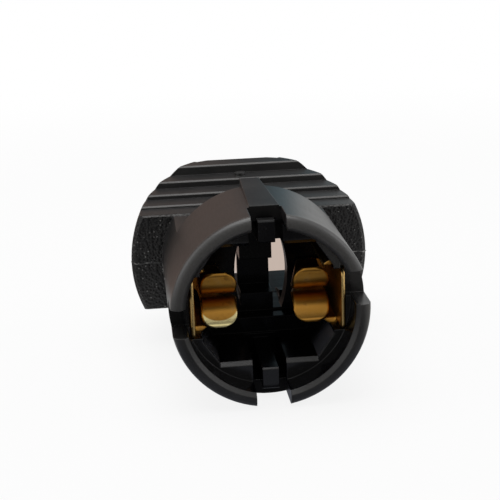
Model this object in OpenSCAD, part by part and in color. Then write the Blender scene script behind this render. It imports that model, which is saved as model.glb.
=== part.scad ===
// Wedge-base lamp socket for a wiring harness: one moulded housing that holds two stamped contacts.
// Millimetres. The origin is the centre of the lamp mouth, +Y runs back along the barrel, +Z is up.

/* [Barrel] */
// Outer diameter of the round barrel
barrel_d = 23.7; // [22.8:0.1:25]
// Wall of the barrel in front of the shelves
barrel_wall = 1.8; // [1.2:0.05:2]
// Length of the round barrel, from the mouth to the flat-sided neck
barrel_l = 16; // [14:0.5:20]
// Radius on the outer edge of the rim
rim_round = 1; // [0.2:0.1:1.1]
// Chamfer on the inner edge of the rim
mouth_chamfer = 0.5; // [0.2:0.1:0.9]

/* [Rim cut-outs] */
// Width of the notches at the top and the bottom of the rim
notch_w = 4.1; // [3.4:0.1:4.6]
// Length of the notches along the barrel
notch_l = 5; // [4.9:0.1:7]
// Length of the slots in the two sides of the rim
side_slot_l = 5; // [3:0.1:7]
// Width of the slot in the left side
left_slot_w = 3.4; // [2:0.1:4.5]
// Height of the middle of the left slot above the axis
left_slot_z = -0.6; // [-2:0.1:2]
// Width of the slot in the right side
right_slot_w = 4.1; // [2:0.1:4.5]
// Height of the middle of the right slot above the axis
right_slot_z = 2.5; // [-2:0.1:3]

/* [Key rib] */
// Width of the key rib where it starts, behind the top notch
key_front_w = 3.6; // [2.6:0.1:4]
// Width of the key rib at the back of the barrel
key_rear_w = 2.4; // [1.6:0.1:2.6]
// Height of the key rib above the barrel at its back end
key_h = 1; // [0.4:0.1:1.6]
// Distance by which the back end of the key rib stands left of the axis
key_skew = 0.6; // [0:0.1:0.8]

/* [Lamp chamber] */
// Distance from the rim back to the front of the shelves
shelf_y = 4; // [3.6:0.1:4.8]
// Width of the chamber between its side walls
chamber_w = 16; // [15.4:0.1:16.6]
// Height of the chamber between the two shelves
chamber_h = 14.4; // [13.6:0.1:15]
// Width of the slanted corners of the chamber
corner_w = 2; // [1.2:0.1:2.6]
// Height of the slanted corners of the chamber
corner_h = 2.9; // [1.6:0.1:3.2]
// Wall that closes the barrel behind the chamber, above and below the neck
back_wall = 1.6; // [1.2:0.1:1.8]
// Lead-in chamfer on the front edges of the shelves
shelf_chamfer = 0.5; // [0.4:0.1:1.4]

/* [Latch tongues] */
// Width of the spring tongues in the two notches
tongue_w = 2; // [1.6:0.1:2.8]
// Thickness of the tongues
tongue_t = 1.3; // [1:0.1:1.5]
// Distance by which the inner faces of the tongues stand back from the shelves
tongue_inset = 0.6; // [0.2:0.1:0.8]
// Distance from the rim back to the tip of the tongues
tongue_y = 3; // [2:0.1:3]
// Free length of the tongues
tongue_l = 11; // [8:0.5:12.5]
// Height of the hook on the tip of each tongue
hook_h = 2.7; // [2:0.1:3]
// Length of the hook on the tip of each tongue
hook_l = 1.5; // [1:0.1:1.8]
// Bevel on the front edge of each hook
hook_bevel = 0.2; // [0.1:0.1:0.6]
// Gap behind each tongue that lets it bend
flex_gap = 0.9; // [0.6:0.1:1]

/* [Partition] */
// Distance from the rim back to the wall behind the chamber
partition_y = 17; // [16.5:0.5:20]
// Thickness of that wall
partition_t = 2.5; // [2:0.1:3]
// Width of the rib between the two windows
rib_w = 4.2; // [3.8:0.1:4.6]
// Width of the left window at mid height
left_window_w = 0.7; // [0.5:0.1:2.2]
// Width of the right window at mid height
right_window_w = 2; // [1.2:0.1:2.2]
// Height of the windows
window_h = 9.8; // [8:0.1:10.2]
// Radius of the bowed outer side of each window
window_arc_r = 14; // [10:0.5:20]
// Height of the groove across the rib for the lamp's wedge
groove_h = 4.6; // [4:0.1:5]
// Height of the middle of that groove above the axis
groove_z = -0.4; // [-0.6:0.1:0.6]
// Depth of that groove
groove_l = 4; // [3.2:0.1:4.4]
// Wall behind, above and below the groove
groove_wall = 0.8; // [0.6:0.1:1]

/* [Neck and grip] */
// Height of the neck between its flats, which is where the finger rests start
neck_h = 13.1; // [12.6:0.1:14]
// Distance from the rim back to the shoulders of the grip
shoulder_y = 24.4; // [23:0.1:27]
// Diameter of the grip at its shoulders
grip_d = 32; // [30:0.1:34]
// Length of the grip behind its shoulders
grip_l = 14.8; // [13:0.1:15.5]
// Radius of the arc along which the grip narrows towards the back
grip_arc_r = 30; // [28:1:60]
// Edge chamfer of the shoulders
shoulder_chamfer = 0.5; // [0.2:0.1:0.8]
// Edge chamfer at the back end of the grip
rear_chamfer = 0.6; // [0.2:0.1:0.8]
// Distance from one step of the finger rests to the next
step_pitch = 3; // [2.4:0.1:3.6]
// Radius of the hollow arc along which the steps climb
step_arc_r = 35; // [28:0.5:45]
// Distance from the lowest point of that arc back to the shoulders
step_lead = 4.8; // [2:0.1:6]
// Rise of each step from its front edge to its back
step_rise = 0.15; // [0.05:0.05:0.2]
// Chamfer on the front edge of each step
step_chamfer = 0.2; // [0.1:0.05:0.3]
// Diameter of the gate mark on the upper finger rest
gate_d = 1.5; // [0.8:0.1:1.6]
// Height of the gate mark
gate_h = 0.4; // [0.2:0.1:0.6]

/* [Rear opening] */
// Width of the cavity behind the partition
cavity_w = 18; // [16.4:0.1:18.4]
// Height of that cavity
cavity_h = 10.3; // [9.6:0.1:10.6]
// Corner radius of that cavity
cavity_round = 1.2; // [0.6:0.1:2]
// Diameter of the recess at the back end
recess_d = 20.6; // [19.6:0.1:21.2]
// Height of that recess between its flats
recess_h = 16.4; // [14:0.1:17]
// Depth of that recess
recess_l = 4.8; // [3:0.1:5.5]
// Width of the snap ramps inside the cavity
ramp_w = 1.6; // [1:0.1:2.4]
// Length of the snap ramps
ramp_l = 4.5; // [3:0.1:5]
// Height of the snap ramps
ramp_h = 1; // [0.5:0.1:1.3]
// Distance from the axis to the middle of each snap ramp
ramp_x = 4.4; // [3.6:0.1:4.6]
// Distance from the partition back to the snap ramps
ramp_setback = 2.5; // [1:0.1:3]

/* [Contacts] */
// Thickness of the contact strip
contact_t = 0.5; // [0.3:0.05:0.6]
// Distance over the outer faces of the two side plates
plate_span = 18.6; // [18:0.1:18.8]
// Height of the side plates
plate_h = 7.5; // [7:0.1:8]
// Distance from the rim back to the front edge of the side plates
plate_y = 3.5; // [3.4:0.1:5]
// Corner radius at the front of the side plates
plate_round = 0.8; // [0.3:0.1:1.4]
// Distance from the flares of the leaves back to the folds along the side plates
fold_setback = 0.8; // [0.6:0.1:2]
// Width of the folds
fold_w = 1.6; // [1:0.1:2]
// Width of the spring leaves
leaf_w = 4.5; // [4:0.1:4.8]
// Distance from the axis to the inner edge of the leaves
leaf_x = 3.4; // [2.8:0.1:3.6]
// Distance from the axis to the inner edge of the leaves at their root
root_x = 5.2; // [4.4:0.1:5.4]
// Gap between the leaves at their root
root_gap = 2.4; // [2:0.1:3]
// Distance from the rim back to the pinch of the leaves
pinch_y = 9; // [8.4:0.1:10]
// Gap between the leaves at their pinch
pinch_gap = 0.5; // [0.3:0.1:1]
// Radius along which the leaves flare in front of their pinch
flare_r = 2.4; // [2:0.1:2.6]
// Radius along which the tips turn out again
lip_r = 0.6; // [0.4:0.1:0.8]
// Corner radius of the tips
leaf_round = 1.8; // [1:0.1:1.9]
// Width of the flat tails
tail_w = 2.8; // [2:0.1:3.4]
// Distance from the axis to the middle of each tail
tail_x = 6.25; // [6:0.05:6.6]
// Length of the tails behind the partition
tail_l = 11; // [8:0.5:13]
// Taper on the end of the tails
tail_taper = 0.7; // [0.3:0.1:0.9]
// Height of the lance that locks each tail
lance_h = 0.6; // [0.3:0.1:0.9]
// Length of that lance
lance_l = 2; // [1:0.1:3]
// Width of that lance
lance_w = 1.6; // [1:0.1:2]
// Clearance of the contacts in the housing
contact_play = 0.1; // [0.05:0.01:0.2]

/* [Hidden] */

$fn = 96;
// Overlap by which cuts run past a face and added forms run into one
lap = 0.2;
// A length that reaches past the whole part
reach = 2 * (shoulder_y + grip_l);

barrel_r = barrel_d / 2;
mouth_r = barrel_r - barrel_wall;
grip_r = grip_d / 2;
grip_end = shoulder_y + grip_l;
grip_end_r = grip_r - grip_arc_r + sqrt(pow(grip_arc_r, 2) - pow(grip_l, 2));
cavity_y = partition_y + partition_t;
step_n = ceil(grip_l / step_pitch);
tongue_z = chamber_h / 2 + tongue_inset;
bay_z = tongue_z + tongue_t + flex_gap;
plate_out = plate_span / 2;
plate_in = plate_out - contact_t;
channel_x = plate_out + contact_play;
channel_h = plate_h + 2 * contact_play;
seat_y = partition_y - contact_play;
tail_end = cavity_y + tail_l;
chamber_end = barrel_l - back_wall;
root_z = (root_gap + contact_t) / 2;
web_h = max(root_gap + 2 * contact_t, tail_w);
pinch_z = (pinch_gap + contact_t) / 2;
flare_y = pinch_y - flare_r;
flare_z = pinch_z + flare_r;
fold_y = flare_y + fold_setback;
// Angle through which the tips turn out
lip_a = 60;
tip_z = flare_z + lip_r * sin(lip_a) + contact_t / 2;

// Rise of the steps' arc at a distance behind its lowest point
function arc_rise(run) = step_arc_r - sqrt(pow(step_arc_r, 2) - pow(run, 2));

// Height of the steps at a distance behind the shoulders
function step_z(run) = neck_h / 2 + arc_rise(run + step_lead) - arc_rise(step_lead);

// Upper outline of the finger rest, one step after another
function step_points() = [
    for (i = [0 : step_n - 1])
        let (y = shoulder_y + i * step_pitch, z = step_z(i * step_pitch))
            each [
                [y, z - step_chamfer],
                [y + step_chamfer, z],
                [y + step_pitch, z + step_rise]
            ]
];

// Carries a front outline back along the barrel from y0
module along_y(y0, l) {
    translate([0, y0 + l, 0])
        rotate([90, 0, 0])
            linear_extrude(l)
                children();
}

// Carries a side outline, drawn as depth and height, to the right from x0
module along_x(x0, l) {
    translate([x0, 0, 0])
        rotate([90, 0, 90])
            linear_extrude(l)
                children();
}

// Turns a half outline, drawn as radius and depth, around the barrel's axis
module spun() {
    rotate([-90, 0, 0])
        rotate_extrude()
            children();
}

// Draws its children as they are and mirrored top to bottom
module above_and_below() {
    children();
    mirror([0, 0, 1])
        children();
}

// Draws its children as they are and mirrored left to right
module left_and_right() {
    children();
    mirror([1, 0, 0])
        children();
}

// Rectangle with round corners, centred
module rounded_square(w, h, r) {
    square([w - 2 * r, h], center = true);
    square([w, h - 2 * r], center = true);
    for (x = [-1, 1], z = [-1, 1])
        translate([x * (w / 2 - r), z * (h / 2 - r)])
            circle(r);
}

// Round barrel with a soft outer edge at its rim
module barrel_form() {
    spun() {
        square([barrel_r - rim_round, barrel_l]);
        translate([0, rim_round])
            square([barrel_r, barrel_l - rim_round]);
        translate([barrel_r - rim_round, rim_round])
            circle(rim_round);
    }
}

// Neck between the barrel and the grip, with flats above and below
module neck_form() {
    along_y(barrel_l - lap, shoulder_y - barrel_l + 2 * lap)
        intersection() {
            circle(barrel_r);
            square([barrel_d + lap, neck_h - 2 * step_chamfer], center = true);
        }
}

// Half outline of the grip, which narrows along an arc towards the back
module grip_outline() {
    difference() {
        intersection() {
            translate([grip_r - grip_arc_r, shoulder_y])
                circle(grip_arc_r);
            translate([0, shoulder_y])
                square([grip_r, grip_l]);
        }
        translate([grip_r, shoulder_y])
            rotate(45)
                square(shoulder_chamfer * sqrt(2), center = true);
        translate([grip_end_r, grip_end])
            rotate(45)
                square(rear_chamfer * sqrt(2), center = true);
    }
}

// Grip with a stepped finger rest above and below
module grip_form() {
    upper = step_points();
    lower = [for (i = [len(upper) - 1 : -1 : 0]) [upper[i][0], -upper[i][1]]];
    intersection() {
        spun()
            grip_outline();
        along_x(-reach / 2, reach)
            polygon(concat(upper, lower));
    }
}

// Gate mark on the tread in front of the last step of the upper finger rest
module gate_mark() {
    run = (step_n - 2) * step_pitch;
    translate([0, shoulder_y + run + step_pitch / 2, step_z(run) - lap])
        linear_extrude(lap + step_rise + gate_h)
            circle(d = gate_d);
}

// Key rib that rises from the top notch to the back of the barrel
module key_rib() {
    intersection() {
        translate([0, 0, mouth_r])
            linear_extrude(barrel_r)
                polygon([
                    [-key_front_w / 2, notch_l],
                    [key_front_w / 2, notch_l],
                    [key_rear_w / 2 - key_skew, barrel_l],
                    [-key_rear_w / 2 - key_skew, barrel_l]
                ]);
        along_x(-key_front_w, 2 * key_front_w)
            polygon([
                [notch_l, mouth_r],
                [notch_l, barrel_r],
                [barrel_l, barrel_r + key_h],
                [barrel_l, mouth_r]
            ]);
    }
}

// Round mouth in front of the shelves, with its lead-in
module mouth_bore() {
    spun() {
        translate([0, -lap])
            square([mouth_r, shelf_y + lap]);
        polygon([
            [0, -lap],
            [mouth_r + mouth_chamfer + lap, -lap],
            [mouth_r, mouth_chamfer],
            [0, mouth_chamfer]
        ]);
    }
}

// Chamber for the lamp's wedge, with slanted corners and bevelled shelf edges
module lamp_chamber() {
    w = chamber_w / 2;
    h = chamber_h / 2;
    along_y(shelf_y - lap, chamber_end - shelf_y + lap)
        polygon([
            [w, corner_h - h], [w, h - corner_h], [w - corner_w, h], [corner_w - w, h],
            [-w, h - corner_h], [-w, corner_h - h], [corner_w - w, -h], [w - corner_w, -h]
        ]);
    above_and_below()
        along_x(corner_w - w, 2 * (w - corner_w))
            polygon([
                [shelf_y - lap, h - lap],
                [shelf_y - lap, h + shelf_chamfer + lap],
                [shelf_y + shelf_chamfer + lap, h - lap]
            ]);
}

// Throat that leads from the chamber through the neck to the partition
module throat() {
    along_y(chamber_end - lap, partition_y - chamber_end + lap)
        rounded_square(chamber_w, cavity_h, cavity_round);
}

// Side channel in which one contact's plate stands
module contact_channel() {
    translate([chamber_w / 2 - lap, plate_y - lap, -channel_h / 2])
        cube([channel_x - chamber_w / 2 + lap, partition_y - plate_y + lap, channel_h]);
}

// Notch in the rim with the bay in which a tongue bends
module tongue_bay() {
    translate([-notch_w / 2, -lap, chamber_h / 2 - lap])
        cube([notch_w, notch_l + lap, barrel_r]);
    translate([-notch_w / 2, -lap, chamber_h / 2 - lap])
        cube([notch_w, tongue_y + tongue_l + lap, bay_z - chamber_h / 2 + lap]);
}

// Spring tongue with a hooked tip
module latch_tongue() {
    z = tongue_z;
    root = tongue_y + tongue_l + lap;
    along_x(-tongue_w / 2, tongue_w)
        polygon([
            [tongue_y + hook_bevel, z],
            [root, z],
            [root, z + tongue_t],
            [tongue_y + hook_l, z + tongue_t],
            [tongue_y + hook_l, z + hook_h],
            [tongue_y + hook_bevel, z + hook_h],
            [tongue_y, z + hook_h - hook_bevel],
            [tongue_y, z + hook_bevel]
        ]);
}

// Slot in one side of the rim; side is -1 for left and 1 for right
module side_slot(side, w, z) {
    translate([side > 0 ? plate_in : -plate_in - barrel_r, -lap, z - w / 2])
        cube([barrel_r, side_slot_l + lap, w]);
}

// Cavity behind the partition, with the wider recess at the back end
module rear_cavity() {
    along_y(cavity_y, grip_end - cavity_y)
        rounded_square(cavity_w, cavity_h, cavity_round);
    along_y(grip_end - recess_l, recess_l + lap)
        intersection() {
            circle(d = recess_d);
            square([recess_d, recess_h], center = true);
        }
}

// Snap ramp on the ceiling of the cavity, right of the axis
module snap_ramp() {
    y = cavity_y + ramp_setback;
    z = cavity_h / 2;
    along_x(ramp_x - ramp_w / 2, ramp_w)
        polygon([
            [y, z + lap],
            [y, z - ramp_h],
            [y + ramp_l, z],
            [y + ramp_l, z + lap]
        ]);
}

// Boss behind the rib that closes the groove
module groove_boss() {
    along_y(cavity_y - lap, groove_l + groove_wall - partition_t + lap)
        translate([0, groove_z])
            square([rib_w, groove_h + 2 * groove_wall], center = true);
}

// Groove across the rib for the lamp's wedge
module wedge_groove() {
    along_y(partition_y - lap, groove_l + lap)
        translate([0, groove_z])
            square([rib_w + lap, groove_h], center = true);
}

// Window right of the rib, with a bowed outer side
module window_cut(w) {
    along_y(partition_y - lap, partition_t + 2 * lap)
        intersection() {
            translate([rib_w / 2 + w - window_arc_r, 0])
                circle(window_arc_r);
            translate([rib_w / 2, -window_h / 2])
                square([w + lap, window_h]);
        }
}

// Slot in the partition through which one contact's tail passes
module tail_slot() {
    translate([tail_x, 0])
        along_y(partition_y - lap, partition_t + 2 * lap)
            square([contact_t + 2 * contact_play, tail_w + 2 * contact_play], center = true);
}

// Moulded housing: barrel, neck and grip in one piece
module socket_housing() {
    color("#1c1c1f")
        difference() {
            union() {
                difference() {
                    union() {
                        barrel_form();
                        neck_form();
                        grip_form();
                        gate_mark();
                        key_rib();
                    }
                    mouth_bore();
                    lamp_chamber();
                    throat();
                    rear_cavity();
                    side_slot(-1, left_slot_w, left_slot_z);
                    side_slot(1, right_slot_w, right_slot_z);
                    left_and_right()
                        contact_channel();
                    above_and_below()
                        tongue_bay();
                }
                above_and_below() {
                    latch_tongue();
                    left_and_right()
                        snap_ramp();
                }
                groove_boss();
            }
            wedge_groove();
            window_cut(right_window_w);
            mirror([1, 0, 0])
                window_cut(left_window_w);
            left_and_right()
                tail_slot();
        }
}

// Flat bar of contact strip between two points of a side outline, with round ends
module strip_bar(a, b) {
    run = b - a;
    translate(a)
        rotate(atan2(run[1], run[0]))
            translate([0, -contact_t / 2])
                square([norm(run), contact_t]);
    for (p = [a, b])
        translate(p)
            circle(d = contact_t);
}

// Ring of contact strip around the centre of a bend
module strip_ring(r) {
    difference() {
        circle(r + contact_t / 2);
        circle(r - contact_t / 2);
    }
}

// Side outline of the upper leaf, from its root to the pinch, up the flare and out along the lip
module leaf_outline() {
    strip_bar([seat_y - contact_t / 2, root_z], [pinch_y, pinch_z]);
    intersection() {
        translate([pinch_y, flare_z])
            strip_ring(flare_r);
        translate([flare_y - contact_t, pinch_z - contact_t])
            square(flare_r + contact_t);
    }
    translate([flare_y - lip_r, flare_z]) {
        intersection() {
            strip_ring(lip_r);
            polygon([[0, 0], [4 * lip_r, 0], 4 * lip_r * [cos(lip_a), sin(lip_a)]]);
        }
        translate(lip_r * [cos(lip_a), sin(lip_a)])
            circle(d = contact_t);
    }
}

// Front outline of the upper leaf, with round corners at its tip
module leaf_face() {
    translate([leaf_x, 0])
        square([leaf_w, tip_z - leaf_round]);
    translate([leaf_x + leaf_round, 0])
        square([leaf_w - 2 * leaf_round, tip_z]);
    for (x = [leaf_x + leaf_round, leaf_x + leaf_w - leaf_round])
        translate([x, tip_z - leaf_round])
            circle(leaf_round);
}

// Plan of the leaf, which narrows behind the pinch towards its root
module leaf_plan() {
    polygon([
        [leaf_x, 0],
        [leaf_x + leaf_w, 0],
        [leaf_x + leaf_w, partition_y],
        [root_x, partition_y],
        [root_x, seat_y - contact_t],
        [leaf_x, pinch_y]
    ]);
}

// Upper spring leaf
module leaf() {
    intersection() {
        along_x(leaf_x, leaf_w)
            leaf_outline();
        along_y(0, partition_y)
            leaf_face();
        linear_extrude(reach)
            leaf_plan();
    }
}

// Fold along the upper edge of the side plate
module plate_fold() {
    translate([plate_in - fold_w, fold_y, plate_h / 2 - contact_t])
        cube([fold_w + contact_t, seat_y - fold_y, contact_t]);
}

// Side plate with round front corners
module side_plate() {
    along_x(plate_in, contact_t) {
        translate([plate_y + plate_round, -plate_h / 2])
            square([seat_y - plate_y - plate_round, plate_h]);
        translate([plate_y, plate_round - plate_h / 2])
            square([seat_y - plate_y, plate_h - 2 * plate_round]);
        for (z = [-1, 1])
            translate([plate_y + plate_round, z * (plate_h / 2 - plate_round)])
                circle(plate_round);
    }
}

// Web that joins the side plate, the leaves and the tail in front of the partition
module contact_web() {
    translate([root_x, seat_y - contact_t, -web_h / 2])
        cube([plate_out - root_x, contact_t, web_h]);
}

// Flat tail that runs back through the partition, with its locking lance
module contact_tail() {
    along_x(tail_x - contact_t / 2, contact_t)
        polygon([
            [seat_y - contact_t, -tail_w / 2],
            [tail_end - tail_taper, -tail_w / 2],
            [tail_end, tail_taper - tail_w / 2],
            [tail_end, tail_w / 2 - tail_taper],
            [tail_end - tail_taper, tail_w / 2],
            [seat_y - contact_t, tail_w / 2]
        ]);
    translate([tail_x + contact_t / 2, cavity_y + contact_play, -lance_w / 2])
        linear_extrude(lance_w)
            polygon([[-contact_t / 2, 0], [lance_h, 0], [0, lance_l], [-contact_t / 2, lance_l]]);
}

// Stamped contact of the right side
module contact() {
    side_plate();
    contact_web();
    contact_tail();
    above_and_below() {
        leaf();
        plate_fold();
    }
}

module left_contact() {
    color("#b5862c")
        mirror([1, 0, 0])
            contact();
}

module right_contact() {
    color("#b5862c")
        contact();
}

socket_housing();
left_contact();
right_contact();
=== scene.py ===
"""Dresses a wedge lamp socket: black moulded housing, brass contacts, mould flash and a pale studio."""
import logging
import math
from dataclasses import dataclass
from enum import Enum
from typing import Any, Callable, Dict, List, NamedTuple, Optional, Sequence, Tuple, Union

import bmesh
import bpy
import numpy as np
from mathutils import Matrix, Vector


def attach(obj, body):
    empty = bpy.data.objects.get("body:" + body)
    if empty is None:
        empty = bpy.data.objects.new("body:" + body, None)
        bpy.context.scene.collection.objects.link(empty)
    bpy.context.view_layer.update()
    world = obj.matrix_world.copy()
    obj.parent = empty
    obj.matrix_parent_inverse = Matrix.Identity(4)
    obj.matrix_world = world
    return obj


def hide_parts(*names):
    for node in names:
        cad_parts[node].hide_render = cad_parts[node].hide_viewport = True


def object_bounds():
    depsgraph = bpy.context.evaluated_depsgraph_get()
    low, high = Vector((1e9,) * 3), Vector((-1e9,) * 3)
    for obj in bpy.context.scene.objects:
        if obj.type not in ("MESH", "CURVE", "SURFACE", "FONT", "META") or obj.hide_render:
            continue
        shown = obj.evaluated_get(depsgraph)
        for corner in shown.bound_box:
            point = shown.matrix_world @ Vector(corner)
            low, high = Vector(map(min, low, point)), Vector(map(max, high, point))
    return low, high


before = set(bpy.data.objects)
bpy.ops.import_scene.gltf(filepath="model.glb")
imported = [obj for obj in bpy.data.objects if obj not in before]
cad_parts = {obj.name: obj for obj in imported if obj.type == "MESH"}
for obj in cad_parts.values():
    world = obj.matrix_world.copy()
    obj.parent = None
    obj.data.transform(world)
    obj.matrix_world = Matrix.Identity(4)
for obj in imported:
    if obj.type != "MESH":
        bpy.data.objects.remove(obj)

CAD_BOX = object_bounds()
MM = 0.001
PER_M = 1000.0
WELD_MM = 1e-4
SLOPE_STEP_MM = 1e-3
LEAST_HALF_MM = 0.02
ROUND_POINTS = 7
BEVEL_SAMPLES = 8
DIAGONAL = 0.7071
EDGE_LAYER = "edge"

Array = np.ndarray
Triple = Tuple[float, float, float]
Colour = Triple
Span = Tuple[float, float]
Number = Union[int, float]

WHITE: Colour = (1.0, 1.0, 1.0)

log = logging.getLogger("lamp_socket")


class Side(Enum):
    """Side of the socket, as the factor on X."""

    LEFT = -1
    RIGHT = 1


class Ray(Enum):
    """Kinds of ray that see the bright background, as outputs of Light Path."""

    CAMERA = "Is Camera Ray"
    GLOSSY = "Is Glossy Ray"
    TRANSMISSION = "Is Transmission Ray"


class Stand(Enum):
    """How a sheet of the studio stands, as the number of the axis across it."""

    UPRIGHT = 1
    LYING = 2


class Along(Enum):
    """Axis along which a card's tints follow each other, as its number."""

    X = 0
    Y = 1
    Z = 2


class Tint(Enum):
    """Glow of the cards, from dark to bright, and the hues of the one behind."""

    DARK = (0.035, 0.035, 0.04)
    SLATE = (0.26, 0.27, 0.305)
    SOFT = (0.30, 0.29, 0.28)
    EVEN = (0.48, 0.47, 0.45)
    GLOW = (0.75, 0.73, 0.70)
    PALE = (0.85, 0.85, 0.84)
    BRIGHT = (0.95, 0.92, 0.90)
    WARM = (0.32, 0.235, 0.20)
    DUSK = (0.11, 0.115, 0.12)
    COOL = (0.13, 0.235, 0.28)


# Painted highlight on the lower leaves' edges and lips: strong on the left, faint on the right.
LOWER_LEAF_HIGHLIGHT: Dict[Side, float] = {Side.LEFT: 1.0, Side.RIGHT: 0.35}
FLASH_SEED: Dict[Side, int] = {Side.LEFT: 5, Side.RIGHT: 11}


class Val:
    """A value socket on which Python arithmetic adds Math nodes."""

    def __init__(self, graph: "Graph", socket: bpy.types.NodeSocket) -> None:
        """Keeps the socket and the graph that it belongs to."""
        self.graph = graph
        self.socket = socket

    def __add__(self, other: "Term") -> "Val":
        """Sum."""
        return self.graph.math("ADD", self, other)

    __radd__ = __add__

    def __sub__(self, other: "Term") -> "Val":
        """Difference."""
        return self.graph.math("SUBTRACT", self, other)

    def __rsub__(self, other: "Term") -> "Val":
        """Difference from a number."""
        return self.graph.math("SUBTRACT", other, self)

    def __mul__(self, other: "Term") -> "Val":
        """Product."""
        return self.graph.math("MULTIPLY", self, other)

    __rmul__ = __mul__

    def __truediv__(self, other: "Term") -> "Val":
        """Quotient."""
        return self.graph.math("DIVIDE", self, other)

    def __abs__(self) -> "Val":
        """Size without sign."""
        return self.graph.math("ABSOLUTE", self)

    def fade(self, low: float, high: float) -> "Val":
        """Smooth step of this value.

        Args:
            low: value at which the step is zero.
            high: value at which the step is one.

        Returns:
            A value from zero to one.
        """
        node = self.graph.node(
            "ShaderNodeMapRange",
            {"interpolation_type": "SMOOTHSTEP"},
            {"Value": self, "From Min": low, "From Max": high},
        )
        return Val(self.graph, node.outputs["Result"])

    def swing(self, amount: float) -> "Val":
        """Returns noise about one half as a swing about zero, times an amount."""
        return amount * (self - 0.5)


Term = Union[Val, Number]


def socket_colour(colour: Any) -> Any:
    """Returns a triple as an opaque colour, and a link as it is."""
    return (*colour, 1.0) if isinstance(colour, tuple) else colour


class Graph:
    """A node tree that is being written."""

    def __init__(self, tree: bpy.types.NodeTree) -> None:
        """Empties the tree and keeps it."""
        tree.nodes.clear()
        self.tree = tree

    def node(
        self,
        kind: str,
        settings: Optional[Dict[str, Any]] = None,
        sockets: Optional[Dict[Union[str, int], Any]] = None,
    ) -> bpy.types.Node:
        """Adds one node.

        Args:
            kind: the node's type.
            settings: its own settings, which are set first.
            sockets: values or links of its inputs, by name or number.

        Returns:
            The node.
        """
        node = self.tree.nodes.new(kind)
        for name, value in (settings or {}).items():
            setattr(node, name, value)
        for key, value in (sockets or {}).items():
            source = value.socket if isinstance(value, Val) else value
            if isinstance(source, bpy.types.NodeSocket):
                self.tree.links.new(source, node.inputs[key])
            else:
                node.inputs[key].default_value = source
        return node

    def math(self, operation: str, *terms: Term) -> Val:
        """Adds a Math node on the given terms and returns its value."""
        node = self.node("ShaderNodeMath", {"operation": operation}, dict(enumerate(terms)))
        return Val(self, node.outputs[0])

    def larger(self, first: Val, second: Val) -> Val:
        """Returns the larger of two values."""
        return self.math("MAXIMUM", first, second)

    def hypot(self, first: Val, second: Val) -> Val:
        """Returns the root of the sum of two squares."""
        return self.math("SQRT", first * first + second * second)

    def place_mm(self) -> bpy.types.NodeSocket:
        """Returns the place on the object, in millimetres."""
        where = self.node("ShaderNodeTexCoord").outputs["Object"]
        scaled = self.node("ShaderNodeVectorMath", {"operation": "SCALE"}, {0: where, "Scale": PER_M})
        return scaled.outputs[0]

    def stretched(self, place: bpy.types.NodeSocket, factors: Triple) -> bpy.types.NodeSocket:
        """Returns the place with each axis multiplied by its factor."""
        node = self.node("ShaderNodeVectorMath", {"operation": "MULTIPLY"}, {0: place, 1: factors})
        return node.outputs[0]

    def dot(self, first: bpy.types.NodeSocket, second: bpy.types.NodeSocket) -> Val:
        """Returns the dot product of two vectors."""
        node = self.node("ShaderNodeVectorMath", {"operation": "DOT_PRODUCT"}, {0: first, 1: second})
        return Val(self, node.outputs["Value"])

    def normal(self) -> bpy.types.NodeSocket:
        """Returns the surface's own normal."""
        return self.node("ShaderNodeNewGeometry").outputs["Normal"]

    def axes(self, place: bpy.types.NodeSocket) -> Tuple[Val, Val, Val]:
        """Returns a vector's three coordinates."""
        split = self.node("ShaderNodeSeparateXYZ", None, {0: place})
        return tuple(Val(self, out) for out in split.outputs)

    def noise(self, place: bpy.types.NodeSocket, per_mm: float, detail: float) -> Val:
        """Returns cloudy noise about one half, with per_mm features to the millimetre."""
        node = self.node("ShaderNodeTexNoise", None, {"Vector": place, "Scale": per_mm, "Detail": detail})
        return Val(self, node.outputs[0])

    def cells(self, place: bpy.types.NodeSocket, per_mm: float) -> Tuple[Val, Val]:
        """Cell pattern.

        Args:
            place: where the pattern is read.
            per_mm: cells to the millimetre.

        Returns:
            The distance from the nearest cell's centre, and a random number for each cell.
        """
        node = self.node("ShaderNodeTexVoronoi", None, {"Vector": place, "Scale": per_mm})
        tint = self.node("ShaderNodeSeparateColor", None, {0: node.outputs["Color"]})
        return Val(self, node.outputs["Distance"]), Val(self, tint.outputs[0])

    def edge_mark(self) -> Val:
        """Returns the mesh's own edge mark."""
        layer = self.node("ShaderNodeAttribute", {"attribute_name": EDGE_LAYER})
        return Val(self, layer.outputs["Fac"])

    def mix(self, share: Term, first: Any, second: Any) -> bpy.types.NodeSocket:
        """Returns a colour between first and second; colours are triples or links."""
        ends = {0: share, 6: socket_colour(first), 7: socket_colour(second)}
        return self.node("ShaderNodeMix", {"data_type": "RGBA"}, ends).outputs[2]

    def soft_edges(self, radius_mm: float) -> bpy.types.NodeSocket:
        """Returns the normal with edges rounded to a radius."""
        node = self.node("ShaderNodeBevel", {"samples": BEVEL_SAMPLES}, {"Radius": radius_mm * MM})
        return node.outputs[0]

    def bump(self, height: Val, depth_mm: float, normal: bpy.types.NodeSocket) -> bpy.types.NodeSocket:
        """Returns a normal disturbed by a height of zero to one that stands for depth_mm."""
        sockets = {"Height": height, "Distance": depth_mm * MM, "Normal": normal}
        return self.node("ShaderNodeBump", None, sockets).outputs[0]

    def rays(self, *kinds: Ray) -> Val:
        """Returns one for the given kinds of ray, else zero."""
        path = self.node("ShaderNodeLightPath")
        total = Val(self, path.outputs[kinds[0].value])
        for kind in kinds[1:]:
            total = self.larger(total, Val(self, path.outputs[kind.value]))
        return total

    def principled(self, sockets: Dict[str, Any]) -> bpy.types.NodeSocket:
        """Returns a Principled shader with the given sockets."""
        return self.node("ShaderNodeBsdfPrincipled", None, sockets).outputs[0]

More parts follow.
